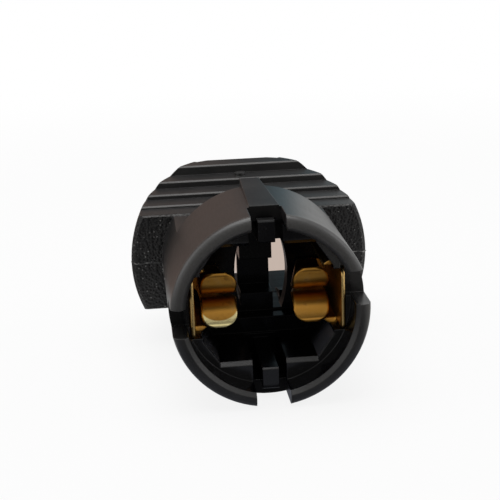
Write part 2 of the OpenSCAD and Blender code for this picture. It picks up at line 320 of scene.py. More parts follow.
    def glow(self, colour: Any) -> bpy.types.NodeSocket:
        """Returns an emission of strength one; its colour is a triple or a link."""
        sockets = {"Color": socket_colour(colour), "Strength": 1.0}
        return self.node("ShaderNodeEmission", None, sockets).outputs[0]

    def between(
        self, share: Val, first: bpy.types.NodeSocket, second: bpy.types.NodeSocket
    ) -> bpy.types.NodeSocket:
        """Returns a mixture of two shaders."""
        return self.node("ShaderNodeMixShader", None, {0: share, 1: first, 2: second}).outputs[0]

    def surface(self, shader: bpy.types.NodeSocket, output: str = "ShaderNodeOutputMaterial") -> None:
        """Makes a shader the surface of the tree's output."""
        self.node(output, None, {"Surface": shader})


def new_material(name: str) -> Tuple[bpy.types.Material, Graph]:
    """Returns an empty node material and the graph to write it in."""
    material = bpy.data.materials.new(name)
    material.use_nodes = True
    return material, Graph(material.node_tree)


class Zones(NamedTuple):
    """Masks of the housing's zones, each from zero to one."""

    grip: Val
    cheek: Val
    inside: Val
    rim: Val
    corners: Val
    lips: Val
    dull: Val


@dataclass(frozen=True)
class MouldedPlastic:
    """Black moulded plastic: satin outside, glossy in the mouth, dull deep inside, pebbled on the cheeks.
    Its colour carries painted shade in the mouth, and painted sheen and highlights on the rim, edges, step lips
    and chamber corners.

    A span is where a mask begins and ends: in millimetres for places, else the values of noise or normals.
    """

    name: str = "black_moulding"
    black: Colour = (0.0060, 0.0058, 0.0060)
    cloud: Colour = (0.0105, 0.0100, 0.0098)
    # Lighter grey for the painted sheen on the upper rim, and for edges lightened partly by wear and partly by
    # painted highlight.
    wear_and_painted_sheen: Colour = (0.060, 0.058, 0.056)
    speck: Colour = (0.22, 0.215, 0.21)
    # Lighter grey painted on the grip's step lips as a highlight.
    lip: Colour = (0.08, 0.077, 0.075)
    # Near black painted in the mouth as shade.
    deep: Colour = (0.0020, 0.0021, 0.0030)
    # Bluish grey painted on the chamber's slanted corners as a reflection.
    corner: Colour = (0.070, 0.072, 0.084)
    satin_roughness: float = 0.36
    mouth_roughness: float = 0.20
    pebble_roughness: float = 0.47
    gloss_ior: float = 1.5
    dull_ior: float = 1.2
    grip_front: Span = (24.15, 24.35)
    cheek_back: Span = (24.8, 24.9)
    cheek_dull: float = 0.5
    mouth_wall: Span = (10.05, 10.75)
    mouth_front: Span = (0.3, 0.8)
    mouth_back: Span = (22.0, 23.0)
    neck_front: Span = (15.4, 15.9)
    neck_flat: Span = (6.1, 6.4)
    # The rim gets a painted sheen that grows lighter towards the top, in streaks.
    rim_wall: Span = (10.15, 10.55)
    rim_back: Span = (0.5, 1.5)
    rim_rise: Span = (-5.0, 5.0)
    rim_sheen_base: float = 0.25
    rim_sheen_streaks: float = 0.5
    # Where the painted reflection on the chamber's slanted corners lies.
    corner_front: Span = (3.9, 4.3)
    corner_back: Span = (7.0, 11.0)
    corner_slant: Span = (0.30, 0.42)
    # Where the painted highlight on the step lips lies, broken into lines.
    lip_slant: Span = (0.38, 0.46)
    lip_lines: Span = (0.25, 0.6)
    dull_front: Span = (4.6, 5.6)
    slot_wall: Span = (9.85, 10.25)
    slot_side: Span = (6.0, 9.0)
    notch_rise: Span = (7.5, 8.0)
    notch_dull: float = 0.9
    recess_front: Span = (1.8, 2.6)
    recess_facing: Span = (0.55, 0.7)
    # Edges rounded by the bevel are lightened in cloudy patches: partly wear, partly painted highlight.
    edge_mm: float = 0.16
    edge_turn: Span = (0.02, 0.25)
    edge_wear_and_sheen_share: float = 0.55
    cloud_per_mm: float = 0.35
    cloud_swing: float = 0.10
    dark_clouds: Span = (0.35, 0.75)
    edge_mark_clouds: Span = (0.40, 0.62)
    streak_per_mm: float = 1.6
    streak_stretch: Triple = (2.2, 0.25, 2.2)
    streak_swing: float = 0.08
    line_per_mm: float = 1.2
    line_stretch: Triple = (0.05, 4.0, 1.0)
    line_swing: float = 0.3
    speck_per_mm: float = 2.2
    speck_size: Span = (0.10, 0.32)
    speck_chance: Span = (0.35, 1.0)
    speck_stray: float = 0.06
    speck_cover: float = 0.8
    speck_roughness: float = 0.10
    pebble_per_mm: float = 2.6
    pebble_size: Span = (0.0, 0.85)
    pebble_mm: float = 0.11
    grain_per_mm: float = 7.0
    grain_mm: float = 0.0025

    def zones(self, g: Graph, place: bpy.types.NodeSocket, flat: bpy.types.NodeSocket) -> Zones:
        """Finds the housing's zones.

        Args:
            g: the material's graph.
            place: the place on the housing, in millimetres.
            flat: the surface's own normal.

        Returns:
            The masks.
        """
        x, depth, z = g.axes(place)
        beside, ahead, above = g.axes(flat)
        radius = g.hypot(x, z)
        grip = depth.fade(*self.grip_front)
        cheek = grip * (1 - depth.fade(*self.cheek_back))
        mouth = (1 - radius.fade(*self.mouth_wall)) * depth.fade(*self.mouth_front)
        neck = depth.fade(*self.neck_front) * abs(z).fade(*self.neck_flat)
        inside = mouth * (1 - depth.fade(*self.mouth_back)) * (1 - neck)
        # Rim face where the sheen is painted, lighter towards the top.
        rim = radius.fade(*self.rim_wall) * (1 - depth.fade(*self.rim_back)) * z.fade(*self.rim_rise)
        # Slanted step lips of the grip, which get a painted highlight.
        lips = abs(ahead * above).fade(*self.lip_slant) * grip
        # Slanted corner faces of the chamber, which get a painted reflection.
        slanted = abs(beside * above).fade(*self.corner_slant)
        corners = slanted * depth.fade(*self.corner_front) * (1 - depth.fade(*self.corner_back))
        slots = radius.fade(*self.slot_wall) * (1 - x.fade(*self.slot_side))
        notches = self.notch_dull * z.fade(*self.notch_rise)
        behind = (0 - ahead).fade(*self.recess_facing) * depth.fade(*self.recess_front)
        recess = g.larger(slots, notches) * behind * (1 - grip)
        dull = g.larger(inside * depth.fade(*self.dull_front), recess)
        return Zones(grip, cheek, inside, rim, corners, lips, g.larger(dull, self.cheek_dull * cheek))

    def material(self) -> bpy.types.Material:
        """Returns the finish as a material."""
        material, g = new_material(self.name)
        place, flat = g.place_mm(), g.normal()
        zone = self.zones(g, place, flat)
        clouds = g.noise(place, self.cloud_per_mm, detail=4.0)
        streaks = g.noise(g.stretched(place, self.streak_stretch), self.streak_per_mm, detail=3.0)
        lines = g.noise(g.stretched(place, self.line_stretch), self.line_per_mm, detail=3.0)
        grit = g.noise(place, self.grain_per_mm, detail=3.0)
        pebbles, _ = g.cells(place, self.pebble_per_mm)
        spots, chance = g.cells(place, self.speck_per_mm)
        strewn = self.speck_stray * chance + (1 - self.speck_stray) * zone.cheek
        specks = (1 - spots.fade(*self.speck_size)) * chance.fade(*self.speck_chance) * strewn
        edges = g.soft_edges(self.edge_mm)
        # Lightened edges, partly wear and partly painted highlight; none in the mouth.
        edge_wear_and_sheen = (1 - g.dot(edges, flat)).fade(*self.edge_turn) * clouds.fade(*self.edge_mark_clouds)

        ground = g.mix(clouds.fade(*self.dark_clouds), self.black, self.cloud)
        # Painted shade darkens the mouth, and its slanted corners get a painted bluish reflection instead.
        shaded = g.mix(zone.inside, ground, g.mix(zone.corners, self.deep, self.corner))
        # Painted sheen on the rim, streaked and lighter towards the top.
        with_rim_sheen = g.mix(zone.rim * (self.rim_sheen_base + self.rim_sheen_streaks * streaks), shaded, self.wear_and_painted_sheen)
        wear_and_painted_sheen = g.mix(edge_wear_and_sheen * self.edge_wear_and_sheen_share * (1 - zone.inside), with_rim_sheen, self.wear_and_painted_sheen)
        # Painted highlight on the step lips.
        lipped = g.mix(zone.lips * lines.fade(*self.lip_lines), wear_and_painted_sheen, self.lip)
        colour = g.mix(specks * self.speck_cover, lipped, self.speck)

        rough = self.satin_roughness + clouds.swing(self.cloud_swing) + streaks.swing(self.streak_swing)
        rough = rough + zone.grip * lines.swing(self.line_swing) + self.speck_roughness * specks
        rough = rough + zone.grip * (self.pebble_roughness - self.satin_roughness)
        rough = rough + zone.inside * (self.mouth_roughness - self.satin_roughness)
        relief = g.bump(pebbles.fade(*self.pebble_size) * zone.cheek, self.pebble_mm, edges)
        fine = g.bump(grit, self.grain_mm, relief)
        shared = {"Base Color": colour, "Roughness": rough, "Normal": fine}
        glossy, matt = (g.principled({**shared, "IOR": ior}) for ior in (self.gloss_ior, self.dull_ior))
        g.surface(g.between(zone.dull, glossy, matt))
        return material


@dataclass(frozen=True)
class FlashPlastic:
    """Thin mould flash, lighter grey in ragged patches along its crest."""

    name: str = "torn_flash"
    black: Colour = (0.016, 0.016, 0.016)
    crest_grey: Colour = (0.33, 0.32, 0.31)
    roughness: float = 0.5
    crest: Span = (0.2, 0.9)
    tear_per_mm: float = 0.55
    tear: Span = (0.45, 0.56)

    def material(self) -> bpy.types.Material:
        """Returns the finish as a material."""
        material, g = new_material(self.name)
        ragged = g.noise(g.place_mm(), self.tear_per_mm, detail=5.0).fade(*self.tear)
        colour = g.mix(g.edge_mark().fade(*self.crest) * ragged, self.black, self.crest_grey)
        g.surface(g.principled({"Base Color": colour, "Roughness": self.roughness}))
        return material


@dataclass(frozen=True)
class SpringBrass:
    """Rolled brass strip: amber tarnish on its faces, bright sheared edges and a painted highlight along the
    leaves' lips.
    """

    name: str = "spring_brass"
    bright: Colour = (0.95, 0.83, 0.42)
    amber: Colour = (0.52, 0.262, 0.048)
    tarnish: Colour = (0.24, 0.10, 0.018)
    roughness: float = 0.36
    edge: Span = (0.3, 1.0)
    edge_polish: float = 0.14
    cloud_per_mm: float = 0.45
    cloud_swing: float = 0.12
    bright_clouds: Span = (0.52, 0.9)
    bright_share: float = 0.3
    stain_per_mm: float = 0.9
    stain: Span = (0.56, 0.74)
    stain_share: float = 0.7
    roll_per_mm: float = 1.0
    roll_stretch: Triple = (9.0, 0.5, 0.9)
    roll_swing: float = 0.08
    roll_mm: float = 0.004

    def material(self) -> bpy.types.Material:
        """Returns the finish as a material."""
        material, g = new_material(self.name)
        place, edge = g.place_mm(), g.edge_mark()
        clouds = g.noise(place, self.cloud_per_mm, detail=4.0)
        stains = g.noise(place, self.stain_per_mm, detail=5.0).fade(*self.stain)
        rolled = g.noise(g.stretched(place, self.roll_stretch), self.roll_per_mm, detail=3.0)
        ground = g.mix(clouds.fade(*self.bright_clouds) * self.bright_share, self.amber, self.bright)
        stained = g.mix(stains * self.stain_share, ground, self.tarnish)
        # The edge mark brightens sheared edges and carries the painted highlight on the leaf lips.
        colour = g.mix(edge.fade(*self.edge), stained, self.bright)
        rough = self.roughness + clouds.swing(self.cloud_swing) + rolled.swing(self.roll_swing)
        rough = rough - self.edge_polish * edge
        normal = g.bump(rolled, self.roll_mm, g.normal())
        g.surface(
            g.principled({"Base Color": colour, "Roughness": rough, "Metallic": 1.0, "Normal": normal})
        )
        return material


@dataclass
class Shell:
    """A closed grid surface in millimetres: points, four-cornered faces and an edge mark for each point."""

    points: Array
    faces: Array
    edge: Array

    def mirrored(self, factors: Triple) -> "Shell":
        """Returns the shell with each axis multiplied by its factor."""
        return Shell(self.points * np.asarray(factors), self.faces, self.edge)


def grid_faces(rows: int, columns: int) -> Array:
    """Faces of a grid that is closed across its columns.

    Args:
        rows: rings along the surface.
        columns: points in each ring.

    Returns:
        Four point numbers for each face.
    """
    ring = np.arange(columns)
    after = (ring + 1) % columns
    start = np.arange(rows - 1)[:, None] * columns
    corners = (start + ring, start + after, start + columns + after, start + columns + ring)
    return np.stack(corners, axis=-1).reshape(-1, 4)


def eased(start: float, end: float, count: int) -> Array:
    """Stations from start to end that crowd towards both ends, by half a turn of the cosine."""
    return start + (end - start) * (1 - np.cos(np.linspace(0, np.pi, count))) / 2


def corner_cut(gap: Array, radius: float) -> Array:
    """Width lost to a round corner: r - sqrt(r^2 - (r - gap)^2) within the radius of the end, else nothing."""
    inside = np.clip(radius - gap, 0, radius)
    return radius - np.sqrt(radius**2 - inside**2)


def bent_sheet(
    middle: Callable[[Array, Array], Array],
    along: Array,
    half: Array,
    thick: float,
    across: int,
) -> Shell:
    """Closed shell of a bent sheet with round edges.

    The sheet's middle is middle(u, v), with u along it and v across it. Each cross-section is a stadium: v
    runs from -(half - r) to half - r at the distance r = thick / 2 on either side, and half circles of that
    radius close the edges. Within r of the two ends the distance falls as sqrt(r^2 - (r - gap)^2) to nothing.

    Args:
        middle: gives points of the middle surface for arrays u and v.
        along: the stations u.
        half: half the width at each station.
        thick: thickness of the sheet.
        across: points across each face.

    Returns:
        The shell, with its edge mark at one on the half circles.
    """
    radius = thick / 2
    turn = np.linspace(np.pi / 2, -np.pi / 2, ROUND_POINTS)
    face, ones = np.linspace(-1, 1, across)[1:-1], np.ones(ROUND_POINTS)
    reach = np.concatenate([face, ones, face[::-1], -ones])
    bulge = np.concatenate([0 * face, np.cos(turn), 0 * face, -np.cos(turn)])
    lift = np.concatenate([0 * face + 1, np.sin(turn), 0 * face - 1, -np.sin(turn)])
    gap = np.minimum(along - along.min(), along.max() - along)
    slim = np.sqrt(np.clip(radius**2 - np.clip(radius - gap, 0, radius) ** 2, 0, None))
    v = np.maximum(half - radius, LEAST_HALF_MM)[:, None] * reach + radius * bulge
    u = np.broadcast_to(along[:, None], v.shape)
    du = middle(u + SLOPE_STEP_MM, v) - middle(u - SLOPE_STEP_MM, v)
    dv = middle(u, v + SLOPE_STEP_MM) - middle(u, v - SLOPE_STEP_MM)
    normal = np.cross(du, dv)
    normal /= np.linalg.norm(normal, axis=-1, keepdims=True)
    points = middle(u, v) + normal * (slim[:, None] * lift)[..., None]
    edge = np.broadcast_to(np.sqrt(np.abs(bulge)), v.shape)
    near_end = 1 - np.clip(gap / thick, 0, 1)[:, None]
    return Shell(points.reshape(-1, 3), grid_faces(*v.shape), np.maximum(edge, near_end).reshape(-1))


def new_object(name: str, data: bpy.types.ID) -> bpy.types.Object:
    """Returns a new object of the scene that holds the data."""
    thing = bpy.data.objects.new(name, data)
    bpy.context.scene.collection.objects.link(thing)
    return thing


def mesh_piece(
    name: str, shells: Sequence[Shell], material: bpy.types.Material
) -> bpy.types.Object:
    """Makes one object of the part from shells.

    Args:
        name: the object's name.
        shells: its closed shells, in millimetres.
        material: its finish.

    Returns:
        The object, which rides on the part.
    """
    counts = np.cumsum([0] + [len(s.points) for s in shells])
    points = np.concatenate([s.points for s in shells]) * MM
    faces = np.concatenate([s.faces + first for s, first in zip(shells, counts)])
    mesh = bpy.data.meshes.new(name)
    mesh.from_pydata(points.tolist(), [], faces.tolist())
    layer = mesh.attributes.new(EDGE_LAYER, "FLOAT", "POINT")
    layer.data.foreach_set("value", np.concatenate([s.edge for s in shells]).astype(np.float32))
    body = bmesh.new()
    body.from_mesh(mesh)
    bmesh.ops.remove_doubles(body, verts=body.verts, dist=WELD_MM * MM)
    bmesh.ops.recalc_face_normals(body, faces=body.faces)
    body.to_mesh(mesh)
    body.free()
    mesh.polygons.foreach_set("use_smooth", np.ones(len(mesh.polygons), bool))
    mesh.materials.append(material)
    piece = new_object(name, mesh)
    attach(piece, "root")
    log.info("%s: %d points, %d faces", name, len(mesh.vertices), len(mesh.polygons))
    return piece


def dress_node(node: str, material: bpy.types.Material) -> None:
    """Gives a solid of the frame its finish."""
    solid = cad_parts[node]
    if not solid.material_slots:
        solid.data.materials.append(material)
    for place in solid.material_slots:
        place.material = material
    log.info("%s: dressed", node)


@dataclass
class SpringContact:
    """Stamped contact: a folded side plate, a web, two flared leaves and a flat tail. Millimetres."""

    side: Side
    # How strongly each leaf's edges and lip crescent are painted bright as a highlight, and where the crescent
    # lies.
    lower_leaf_highlight: float
    upper_leaf_highlight: float = 0.1
    plate_edge_shine: float = 0.62
    least_edge_shine: float = 0.3
    crescent_mm: float = 0.95
    crescent_from: float = 2.4
    moon_start: float = 0.92
    moon_fade: float = 0.12
    thick: float = 0.5
    plate_x: float = 9.05
    plate_z: float = 3.75
    plate_y: float = 3.5
    plate_round: float = 0.8
    seat_y: float = 16.9
    fold_y: float = 7.4
    fold_run: float = 0.35
    fold_tip_x: float = 7.2
    least_fold: float = 1e-4
    bend_r: float = 0.5
    leaf_in: float = 3.4
    leaf_out: float = 7.9
    root_in: float = 5.2
    leaf_round: float = 1.8
    root_z: float = 1.45
    pinch_y: float = 9.0
    pinch_z: float = 0.5
    flare_r: float = 2.4
    lip_r: float = 0.6
    lip_turn: float = math.pi / 3
    web_half: float = 1.7
    tail_x: float = 6.25
    tail_half: float = 1.4
    tail_end: float = 30.5
    tail_taper: float = 0.7
    lance_y: float = 19.6
    lance_l: float = 2.0
    lance_h: float = 0.6
    lance_half: float = 0.8
    lance_thick: float = 0.34

    def side_plate(self) -> Shell:
        """Side plate whose upper and lower edges turn inwards behind fold_y.

        Across the plate the middle is straight up to the bend, follows an arc of bend_r through a quarter turn
        and is straight again. In front of the folds the arc's curvature is nothing, so the plate is flat there.
        """
        flat = self.plate_z - self.thick / 2 - self.bend_r
        arc = self.bend_r * math.pi / 2
        tip = self.plate_x - self.bend_r - self.fold_tip_x
        front = eased(self.plate_y, self.fold_y, count=40)
        along = np.concatenate([front[:-1], eased(self.fold_y, self.seat_y, count=40)])

        def fold(u: Array) -> Array:
            """Smooth step from nothing in front of the folds to one behind their front edge."""
            t = np.clip((u - self.fold_y + self.fold_run) / self.fold_run, 0, 1)
            return t * t * (3 - 2 * t)

        def middle(u: Array, v: Array) -> Array:
            """Middle of the plate."""
            run = np.abs(v)
            bend = np.maximum(fold(u), self.least_fold) / self.bend_r
            turned = np.clip(run - flat, 0, arc)
            rest = np.clip(run - flat - arc, 0, None)
            angle = bend * turned
            x = self.plate_x - (1 - np.cos(angle)) / bend - rest * np.sin(angle)
            z = np.minimum(run, flat) + np.sin(angle) / bend + rest * np.cos(angle)
            return np.stack([x, u, np.sign(v) * z], axis=-1)

        half = self.plate_z + (flat + arc + tip - self.plate_z) * fold(along)
        half = half - corner_cut(along - self.plate_y, self.plate_round)
        shell = bent_sheet(middle, along, half, self.thick, across=72)
        shell.edge = shell.edge * self.plate_edge_shine
        return shell

    def leaf(self, leaf_highlight: float) -> Shell:
        """Upper leaf.

        It runs straight from its root to the pinch while it widens inwards, then up a quarter circle of
        flare_r and out again along an arc of lip_r. The lip is painted bright as a highlight outside the ellipse
        across^2 + ((end - f) / (f - w))^2 = 1, with f as crescent_from and w as crescent_mm, which leaves a
        crescent.

        Args:
            leaf_highlight: how strongly the leaf's edges and lip crescent are painted bright as a highlight, from
                zero to one.

        Returns:
            The leaf, with its edge mark raised along the lip.
        """
        root_y = self.seat_y - self.thick / 2
        straight = math.hypot(root_y - self.pinch_y, self.root_z - self.pinch_z)
        bent = straight + self.flare_r * math.pi / 2
        length = bent + self.lip_r * self.lip_turn

        def inner(u: Array) -> Array:
            """Inner edge of the leaf at the distance u from its root."""
            return self.root_in + (self.leaf_in - self.root_in) * np.clip(u / straight, 0, 1)

        def middle(u: Array, v: Array) -> Array:
            """Middle of the leaf at the distance u from its root."""
            share = np.minimum(u, straight) / straight
            rise = np.clip(u - straight, 0, bent - straight) / self.flare_r
            turn = np.clip(u - bent, 0, None) / self.lip_r
            y = root_y + (self.pinch_y - root_y) * share - self.flare_r * np.sin(rise)
            z = self.root_z + (self.pinch_z - self.root_z) * share + self.flare_r * (1 - np.cos(rise))
            y, z = y - self.lip_r * (1 - np.cos(turn)), z + self.lip_r * np.sin(turn)
            return np.stack([(inner(u) + self.leaf_out) / 2 + v, y, z], axis=-1)

        stem = np.linspace(0, straight, num=24)[:-1]
        flare = np.linspace(straight, bent, num=40)[:-1]
        along = np.concatenate([stem, flare, eased(bent, length, count=24)])
        half = (self.leaf_out - inner(along)) / 2 - corner_cut(length - along, self.leaf_round)
        shell = bent_sheet(middle, along, half, self.thick, across=34)
        end = np.repeat(length - along, len(shell.points) // len(along))
        wide = (self.leaf_out - self.leaf_in) / 2
        across = (shell.points[:, 0] - self.leaf_out + wide) / wide
        # Painted highlight: a bright crescent along the lip, scaled by worn.
        moon = np.hypot(across, (end - self.crescent_from) / (self.crescent_from - self.crescent_mm))
        wear_and_painted_sheen = np.clip((moon - self.moon_start) / self.moon_fade, 0, 1) * (end < self.crescent_from)
        shell.edge = np.maximum(shell.edge * max(leaf_highlight, self.least_edge_shine), leaf_highlight * wear_and_painted_sheen)
        return shell

    def web(self) -> Shell:
        """Upright web that joins the plate, the leaves and the tail."""
        outer = self.plate_x + self.thick / 2
        y = self.seat_y - self.thick / 2

        def middle(u: Array, v: Array) -> Array:
            """Middle of the web."""
            return np.stack([u, np.full_like(u, y), v], axis=-1)

        along = eased(self.root_in, outer, count=30)
        return bent_sheet(middle, along, np.full_like(along, self.web_half), self.thick, across=16)

    def tail(self) -> Shell:
        """Flat tail with a tapered end."""

        def middle(u: Array, v: Array) -> Array:
            """Middle of the tail."""
            return np.stack([np.full_like(u, self.tail_x), u, v], axis=-1)

        along = eased(self.seat_y - self.thick, self.tail_end, count=60)
        taper = np.clip(along - self.tail_end + self.tail_taper, 0, None)
        return bent_sheet(middle, along, self.tail_half - taper, self.thick, across=18)

    def lance(self) -> Shell:
        """Locking lance that leans out of the tail towards the partition."""
        foot = self.tail_x + self.thick / 2 - self.lance_thick / 2
        top = foot + self.lance_h

        def middle(u: Array, v: Array) -> Array:
            """Middle of the lance."""
            share = (u - self.lance_y) / self.lance_l
            return np.stack([top + (foot - top) * share, u, v], axis=-1)

        along = eased(self.lance_y, self.lance_y + self.lance_l, count=24)
        return bent_sheet(middle, along, np.full_like(along, self.lance_half), self.lance_thick, across=12)

    def build(self, material: bpy.types.Material) -> bpy.types.Object:
        """Makes the contact in place of its plain solid.

        Args:
            material: finish of the strip.

        Returns:
            The contact.
        """
        upper, lower = self.leaf(self.upper_leaf_highlight), self.leaf(self.lower_leaf_highlight).mirrored((1, 1, -1))
        shells = [self.side_plate(), upper, lower, self.web(), self.tail(), self.lance()]
        turned = [s.mirrored((self.side.value, 1, 1)) for s in shells]
        node = f"{self.side.name.lower()}_contact"
        piece = mesh_piece(f"{node}_strip", turned, material)
        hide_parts(node)
        return piece


@dataclass
class MouldFlash:
    """Line of flash where the mould halves met: along the neck, over the shoulder and back along the grip."""

    side: Side
    seed: int
    neck_x: float = 11.85
    neck_y: float = 16.3
    shoulder_y: float = 24.4
    grip_r: float = 16.0
    grip_arc_r: float = 30.0
    chamfer: float = 0.5
    end_y: float = 38.4
    width: float = 0.17
    low: float = 0.025
    high: float = 0.12
    peak_power: float = 2.6
    peak_window: int = 9
    sunk: float = 0.05
    wander: float = 0.22
    wander_window: int = 41
    end_rows: int = 4

    def route(self) -> Tuple[Array, Array]:
        """Path of the line and the outward normals along it.

        The line runs back along the neck, out along the shoulder, over its chamfer, and back along the grip's
        arc x = r - R + sqrt(R^2 - run^2).

        Returns:
            Points and unit normals, in the plane of the mould's parting.
        """
        neck = np.linspace(self.neck_y, self.shoulder_y, num=60)
        out = np.linspace(self.neck_x, self.grip_r - self.chamfer, num=60)
        over = np.linspace(0, self.chamfer, num=6)
        tilt = np.full_like(over, DIAGONAL)
        run = np.linspace(self.chamfer, self.end_y - self.shoulder_y, num=110)
        x = self.grip_r - self.grip_arc_r + np.sqrt(self.grip_arc_r**2 - run**2)
        slope = run / self.grip_arc_r
        legs = [
            (np.full_like(neck, self.neck_x), neck, np.ones_like(neck), np.zeros_like(neck)),
            (out, np.full_like(out, self.shoulder_y), np.zeros_like(out), -np.ones_like(out)),
            (self.grip_r - self.chamfer + over, self.shoulder_y + over, tilt, -tilt),
            (x, self.shoulder_y + run, np.sqrt(1 - slope**2), slope),
        ]
        px, py, nx, ny = (np.concatenate(column) for column in zip(*legs))
        flat = np.zeros_like(px)
        return np.stack([px, py, flat], -1), np.stack([nx, ny, flat], -1)

    def uneven(self, count: int, window: int, shift: int) -> Array:
        """Seeded noise along the line.

        Args:
            count: stations along the line.
            window: stations over which the noise is smoothed.
            shift: number added to the seed.

        Returns:
            A value from zero to one for each station.
        """
        rough = np.random.default_rng(self.seed + shift).random(count + 2 * window)
        weights = np.hanning(window) / np.hanning(window).sum()
        smooth = np.convolve(rough, weights, "same")[window:-window]
        return (smooth - smooth.min()) / np.ptp(smooth)

    def build(self, material: bpy.types.Material) -> bpy.types.Object:
        """Carries a low arched profile along the route.

        The profile is a half ellipse of the line's width and uneven height that stands on a base sunk into the
        surface, and it closes to a point at both ends.

        Args:
            material: finish of the flash.

        Returns:
            The line of flash.
        """
        path, normal = self.route()
        count = len(path)
        row = np.arange(count)
        ends = np.clip(np.minimum(row, count - 1 - row) / self.end_rows, 0, 1)
        peaks = self.uneven(count, self.peak_window, shift=0) ** self.peak_power
        height = (self.low + (self.high - self.low) * peaks) * ends
        drift = self.wander * (2 * self.uneven(count, self.wander_window, shift=1) - 1)
        wide = self.width / 2 * ends
        turn = np.linspace(0, np.pi, ROUND_POINTS)
        side = np.concatenate([np.cos(turn), [-1, 1]])
        rise = np.concatenate([np.sin(turn), [0, 0]])
        base = np.concatenate([np.zeros(ROUND_POINTS), [1, 1]])
        lift = height[:, None] * rise - self.sunk * base * ends[:, None]
        points = path[:, None, :] + normal[:, None, :] * lift[..., None]
        points[..., 2] += wide[:, None] * side + drift[:, None]
        crest = np.broadcast_to(rise, lift.shape)
        shell = Shell(points.reshape(-1, 3), grid_faces(count, len(side)), crest.reshape(-1))
        name = f"{self.side.name.lower()}_flash"
        return mesh_piece(name, [shell.mirrored((self.side.value, 1, 1))], material)


@dataclass(frozen=True)
class SocketHousing:
    """The moulded housing with its flash lines."""

    plastic: MouldedPlastic = MouldedPlastic()
    flash: FlashPlastic = FlashPlastic()

    def dress(self) -> None:
        """Gives the housing its finish."""
        dress_node("socket_housing", self.plastic.material())

    def build(self) -> List[bpy.types.Object]:
        """Makes the flash lines on both sides."""
        material = self.flash.material()
        return [MouldFlash(side, FLASH_SEED[side]).build(material) for side in Side]


@dataclass(frozen=True)
class PhotoCamera:
    """Camera of the photograph: above the axis, a little to the left, turned slightly."""

    distance_mm: float = 140.0
    above_deg: float = 15.8
    aside_deg: float = -5.5
    roll_deg: float = 2.0
    mouth_px: Tuple[float, float] = (272.0, 314.5)
    centre_px: float = 250.0
    px_per_mm: float = 8.6
    frame_px: float = 500.0
    sensor_mm: float = 36.0
    clip_m: Span = (0.005, 20.0)

    def build(self) -> bpy.types.Object:
        """Places the camera so that the lamp mouth's centre falls on its pixel."""
        e, a, roll = (math.radians(d) for d in (self.above_deg, self.aside_deg, self.roll_deg))
        back = Vector((math.sin(a) * math.cos(e), -math.cos(a) * math.cos(e), math.sin(e)))
        level = Vector((math.cos(a), math.sin(a), 0.0))
        upright = back.cross(level)
        right = math.cos(roll) * level - math.sin(roll) * upright
        up = math.sin(roll) * level + math.cos(roll) * upright
        across = (self.mouth_px[0] - self.centre_px) / self.px_per_mm
        rise = (self.centre_px - self.mouth_px[1]) / self.px_per_mm
        spot = back * self.distance_mm - right * across - up * rise
        data = bpy.data.cameras.new("photo_camera")
        data.sensor_width = self.sensor_mm
        data.lens = self.sensor_mm * self.px_per_mm * self.distance_mm / self.frame_px
        data.clip_start, data.clip_end = self.clip_m
        camera = new_object("photo_camera", data)
        turn = Matrix((right, up, back)).transposed().to_4x4()
        camera.matrix_world = Matrix.Translation(spot * MM) @ turn
        bpy.context.scene.camera = camera
        return camera


@dataclass(frozen=True)
class Softbox:
    """A soft lamp that looks at the socket. Millimetres."""

    name: str
    spot: Triple
    width: float
    height: float
    radiance: float
    aim: Triple = (0.0, 15.0, 0.0)

    def build(self) -> bpy.types.Object:
        """Makes the lamp; its power is pi times its area times its radiance."""
        data = bpy.data.lights.new(self.name, "AREA")
        data.shape = "RECTANGLE"
        data.size = self.width * MM
        data.size_y = self.height * MM
        data.energy = math.pi * data.size * data.size_y * self.radiance
        lamp = new_object(self.name, data)
        look = Vector(self.aim) - Vector(self.spot)
        turn = look.to_track_quat("-Z", "Y").to_matrix().to_4x4()
        lamp.matrix_world = Matrix.Translation(Vector(self.spot) * MM) @ turn
        return lamp


@dataclass(frozen=True)
class StageSheet:
    """A flat sheet of the studio: X by height at one depth, or X by depth at one height. Millimetres."""

    name: str
    stand: Stand
    level: float
    x_range: Span
    far_range: Span

    def make(self, material: bpy.types.Material) -> bpy.types.Object:
        """Makes the sheet, which isn't part of the object."""
        (x0, x1), (f0, f1) = self.x_range, self.far_range
        across = self.stand.value
        corners = np.zeros((4, 3))
        corners[:, 0] = (x0, x1, x1, x0)
        corners[:, across] = self.level
        corners[:, 3 - across] = (f0, f0, f1, f1)
        mesh = bpy.data.meshes.new(self.name)
        mesh.from_pydata((corners * MM).tolist(), [], [(0, 1, 2, 3)])
        mesh.materials.append(material)
        sheet = new_object(self.name, mesh)
        return sheet


@dataclass(frozen=True)
class Card(StageSheet):
    """A card that only reflections see, with tints that follow each other along one axis."""

    stops: Tuple[Tuple[float, Tint], ...]
    along: Along = Along.X

    def build(self) -> bpy.types.Object:
        """Makes the card; its glow is mixed smoothly from each stop to the next."""
        material, g = new_material(self.name)
        place = g.axes(g.place_mm())[self.along.value]
        spot, first = self.stops[0]
        glow = first.value
        for after, tint in self.stops[1:]:
            glow = g.mix(place.fade(spot, after), glow, tint.value)
            spot = after
        g.surface(g.glow(glow))
        card = self.make(material)
        for kind in ("camera", "diffuse", "transmission", "volume_scatter", "shadow"):
            setattr(card, f"visible_{kind}", False)
        return card


